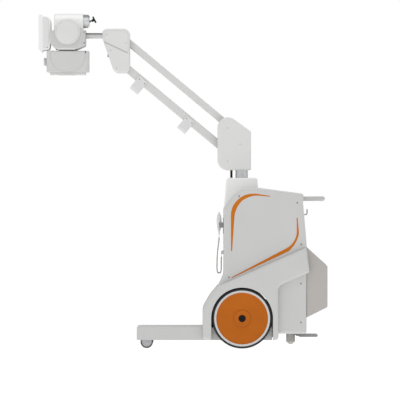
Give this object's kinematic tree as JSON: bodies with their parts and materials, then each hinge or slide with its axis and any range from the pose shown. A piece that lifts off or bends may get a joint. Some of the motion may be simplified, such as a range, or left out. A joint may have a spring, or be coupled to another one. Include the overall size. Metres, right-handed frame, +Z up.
{
  "type": "mobile x-ray machine",
  "caption": "Wheeled hospital x-ray unit with a turning column, a parallel lifting arm, a tilting tube head with collimator, and a cabinet body.",
  "frame": {"origin": "floor point under the middle of the machine's overall box", "axes": "+Z up, -X towards the tube head (front), +X towards the push handle, Y across the machine"},
  "size_m": [1.738, 0.575, 2.0155],
  "materials": {
    "shell_white": "satin moulded cover",
    "arm_white": "satin moulded cover",
    "frame_steel": "powder coated",
    "leg_paint": "powder coated",
    "bar_white": "satin white paint",
    "axle_steel": "turned",
    "column_chrome": "ground and polished",
    "tyre_rubber": "moulded",
    "wheel_orange": "cast and lacquered orange, with a light grey rim",
    "hub_grey": "moulded",
    "caster_tread": "moulded",
    "head_cast": "cast and painted",
    "drum_white": "gloss painted",
    "drum_metal": "turned",
    "panel_plastic": "moulded",
    "dark_plastic": "moulded",
    "bin_plastic": "moulded",
    "grey_plastic": "moulded",
    "foot_rubber": "moulded",
    "screen_black": "glass fronted",
    "stop_red": "moulded",
    "cord_grey": "coiled",
    "cable_black": "ribbed",
    "pack_alu": "sealed box"
  },
  "bodies": {
    "chassis": {"base_frame": "frame_steel", "leg_left": "leg_paint", "leg_right": "leg_paint", "axle": "axle_steel", "side_panel_left": "shell_white", "side_panel_right": "shell_white", "front_cover": "shell_white", "top_deck": "shell_white", "console_screen": "screen_black", "rear_cover": "shell_white", "turret_cover": "shell_white", "push_handle": "grey_plastic", "detector_bin": "bin_plastic", "cord_hook": "grey_plastic", "rear_foot": "foot_rubber", "power_unit": "pack_alu", "battery_pack": "pack_alu", "hand_switch": "panel_plastic", "switch_holder": "grey_plastic", "curly_cord": "cord_grey", "cord_inlet": "panel_plastic"},
    "wheel_left": {"tyre_left": "tyre_rubber", "wheel_disc_left": "wheel_orange", "hub_cap_left": "wheel_orange"},
    "wheel_right": {"tyre_right": "tyre_rubber", "wheel_disc_right": "wheel_orange", "hub_cap_right": "wheel_orange"},
    "caster_left": {"caster_fork_left": "hub_grey"},
    "caster_right": {"caster_fork_right": "hub_grey"},
    "caster_roller_left": {"caster_wheel_left": "caster_tread"},
    "caster_roller_right": {"caster_wheel_right": "caster_tread"},
    "emergency_stop": {"emergency_stop": "stop_red"},
    "exposure_button": {"exposure_button": "grey_plastic"},
    "brake_pedal": {"brake_pedal": "grey_plastic"},
    "column": {"column_tube": "column_chrome", "column_cable": "cable_black", "rear_bracket": "frame_steel", "rear_pins": "axle_steel", "rear_shell_left": "arm_white", "rear_shell_right": "arm_white"},
    "upper_bar": {"upper_bar": "bar_white"},
    "lower_bar": {"lower_bar": "bar_white", "cable_loop_front": "panel_plastic", "cable_loop_rear": "panel_plastic"},
    "arm_head": {"front_bracket": "frame_steel", "front_pins": "axle_steel", "arm_shaft": "axle_steel", "front_shell_left": "arm_white", "front_shell_right": "arm_white"},
    "release_button": {"arm_release_button": "grey_plastic"},
    "fork": {"trunnion_fork": "frame_steel"},
    "tube_head": {"head_casting": "head_cast", "tube_drum": "drum_white", "drum_end": "drum_metal", "head_caps": "arm_white", "front_panel": "panel_plastic"},
    "end_lever": {"end_lever": "dark_plastic"},
    "collimator": {"collimator": "head_cast"},
    "knob_left": {"collimator_knob_left": "grey_plastic"},
    "knob_right": {"collimator_knob_right": "grey_plastic"}
  },
  "joints": [
    {"name": "wheel_left_spin", "type": "hinge", "parent": "chassis", "child": "wheel_left", "pos_m": [0.36, -0.264, 0.18], "axis": [0, 1, 0], "continuous": true},
    {"name": "wheel_right_spin", "type": "hinge", "parent": "chassis", "child": "wheel_right", "pos_m": [0.36, 0.264, 0.18], "axis": [0, 1, 0], "continuous": true},
    {"name": "caster_left_swivel", "type": "hinge", "parent": "chassis", "child": "caster_left", "pos_m": [-0.222, -0.175, 0.09], "axis": [0, 0, 1], "continuous": true},
    {"name": "caster_right_swivel", "type": "hinge", "parent": "chassis", "child": "caster_right", "pos_m": [-0.222, 0.175, 0.09], "axis": [0, 0, 1], "continuous": true},
    {"name": "caster_left_roll", "type": "hinge", "parent": "caster_left", "child": "caster_roller_left", "pos_m": [-0.212, -0.175, 0.0375], "axis": [0, 1, 0], "continuous": true},
    {"name": "caster_right_roll", "type": "hinge", "parent": "caster_right", "child": "caster_roller_right", "pos_m": [-0.212, 0.175, 0.0375], "axis": [0, 1, 0], "continuous": true},
    {"name": "stop_press", "type": "slide", "parent": "chassis", "child": "emergency_stop", "axis": [0, 0, -1], "range_m": [0, 0.004], "stiffness_N_per_m": 800, "springref_m": -0.001},
    {"name": "exposure_press", "type": "slide", "parent": "chassis", "child": "exposure_button", "axis": [0, 0, -1], "range_m": [0, 0.0015], "stiffness_N_per_m": 600, "springref_m": -0.0005},
    {"name": "brake_press", "type": "hinge", "parent": "chassis", "child": "brake_pedal", "pos_m": [0.701, 0, 0.077], "axis": [0, 1, 0], "range_deg": [0, 12], "stiffness_Nm_per_rad": 6, "springref_deg": -22.92},
    {"name": "column_rotation", "type": "hinge", "parent": "chassis", "child": "column", "pos_m": [0.36, 0, 0.9], "axis": [0, 0, 1], "range_deg": [-90, 90]},
    {"name": "arm_lift", "type": "hinge", "parent": "column", "child": "upper_bar", "pos_m": [0.278, 0, 1.341], "axis": [0, 1, 0], "range_deg": [-70, 5]},
    {"name": "lower_bar_follow", "type": "hinge", "parent": "column", "child": "lower_bar", "pos_m": [0.278, 0, 1.176], "axis": [0, 1, 0], "range_deg": [-70, 5]},
    {"name": "head_level", "type": "hinge", "parent": "upper_bar", "child": "arm_head", "pos_m": [-0.38426, 0, 1.89278], "axis": [0, 1, 0], "range_deg": [-5, 70]},
    {"name": "release_press", "type": "slide", "parent": "arm_head", "child": "release_button", "axis": [1, 0, 0], "range_m": [0, 0.002], "stiffness_N_per_m": 600, "springref_m": -0.0005},
    {"name": "head_roll", "type": "hinge", "parent": "arm_head", "child": "fork", "pos_m": [-0.6, 0, 1.882], "axis": [1, 0, 0], "range_deg": [-90, 90]},
    {"name": "tube_tilt", "type": "hinge", "parent": "fork", "child": "tube_head", "pos_m": [-0.681, 0, 1.888], "axis": [0, 1, 0], "range_deg": [-25, 10]},
    {"name": "end_lever_turn", "type": "hinge", "parent": "tube_head", "child": "end_lever", "pos_m": [-0.56, 0, 1.969], "axis": [1, 0, 0], "range_deg": [-90, 90]},
    {"name": "collimator_rotation", "type": "hinge", "parent": "tube_head", "child": "collimator", "pos_m": [-0.69, 0, 1.79], "axis": [0, 0, 1], "range_deg": [-90, 90]},
    {"name": "knob_left_turn", "type": "hinge", "parent": "collimator", "child": "knob_left", "pos_m": [-0.826, -0.036, 1.724], "axis": [1, 0, 0], "range_deg": [-150, 150]},
    {"name": "knob_right_turn", "type": "hinge", "parent": "collimator", "child": "knob_right", "pos_m": [-0.826, 0.036, 1.724], "axis": [1, 0, 0], "range_deg": [-150, 150]}
  ],
  "couplings": [
    {"joint": "lower_bar_follow", "follows": "arm_lift", "ratio": 1},
    {"joint": "head_level", "follows": "arm_lift", "ratio": -1}
  ]
}
